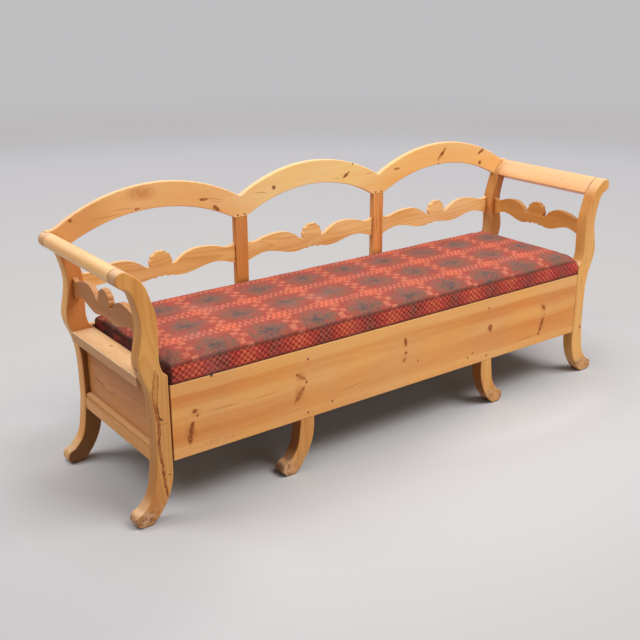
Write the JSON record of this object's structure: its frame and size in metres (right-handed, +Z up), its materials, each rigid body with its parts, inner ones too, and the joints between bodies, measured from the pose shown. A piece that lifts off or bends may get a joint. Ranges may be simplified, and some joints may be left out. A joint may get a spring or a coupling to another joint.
{
  "type": "pull-out bench bed",
  "caption": "Pine bench bed with an arched open back, scrolled plank posts and wavy splats; its front board slides out with slats, and the seat lid and plaid cushion lift off.",
  "frame": {"origin": "on the floor under the middle of the bench", "axes": "+X along the bench to its right end as seen from the front, +Y from the front to the back, +Z up"},
  "size_m": [2.09, 0.55, 0.904],
  "materials": {
    "frame_pine": "waxed, satin",
    "board_pine": "waxed, satin",
    "red_pine": "waxed, satin",
    "plain_pine": "bare, matt",
    "peg_wood": "waxed, satin",
    "woven_plaid": "woven, matt"
  },
  "bodies": {
    "frame": {"arm_rail_left": "frame_pine", "arm_rail_right": "frame_pine", "arm_splat_left": "frame_pine", "arm_splat_right": "frame_pine", "back_board": "plain_pine", "back_lid_cleat": "plain_pine", "back_rail_pegs": "peg_wood", "back_seat_rail": "red_pine", "back_slat_bearer": "plain_pine", "back_splat_left": "frame_pine", "back_splat_middle": "frame_pine", "back_splat_right": "frame_pine", "back_stile_left": "red_pine", "back_stile_right": "red_pine", "back_top_rail": "frame_pine", "end_bottom_rail_left": "frame_pine", "end_bottom_rail_right": "frame_pine", "end_ledge_left": "frame_pine", "end_ledge_right": "frame_pine", "end_panel_left": "frame_pine", "end_panel_right": "frame_pine", "fixed_slat_1": "plain_pine", "fixed_slat_2": "plain_pine", "fixed_slat_3": "plain_pine", "fixed_slat_4": "plain_pine", "fixed_slat_5": "plain_pine", "fixed_slat_6": "plain_pine", "fixed_slat_7": "plain_pine", "front_lid_rail": "plain_pine", "front_slat_bearer": "plain_pine", "post_back_left": "frame_pine", "post_back_right": "frame_pine", "post_front_left": "frame_pine", "post_front_right": "frame_pine", "side_guide_left": "plain_pine", "side_guide_right": "plain_pine"},
    "pull_out_front": {"board_pegs": "peg_wood", "front_board": "board_pine", "middle_leg_left": "frame_pine", "middle_leg_right": "frame_pine", "moving_slat_1": "plain_pine", "moving_slat_2": "plain_pine", "moving_slat_3": "plain_pine", "moving_slat_4": "plain_pine", "moving_slat_5": "plain_pine", "moving_slat_6": "plain_pine", "pull_out_side_left": "plain_pine", "pull_out_side_right": "plain_pine", "slat_rail_left": "plain_pine", "slat_rail_middle": "plain_pine", "slat_rail_right": "plain_pine", "slat_stops": "plain_pine"},
    "seat_lid": {"lid_batten_left": "plain_pine", "lid_batten_middle": "plain_pine", "lid_batten_right": "plain_pine", "lid_board_back": "plain_pine", "lid_board_front": "plain_pine"},
    "cushion": {"seat_cushion": "woven_plaid"}
  },
  "joints": [
    {"name": "pull_out", "type": "slide", "parent": "frame", "child": "pull_out_front", "axis": [0, -1, 0], "range_m": [0, 0.375]},
    {"name": "lid_lift", "type": "slide", "parent": "frame", "child": "seat_lid", "axis": [0, 0, 1], "range_m": [0, 0.35]},
    {"name": "cushion_lift", "type": "slide", "parent": "seat_lid", "child": "cushion", "axis": [0, 0, 1], "range_m": [0, 0.25]}
  ]
}
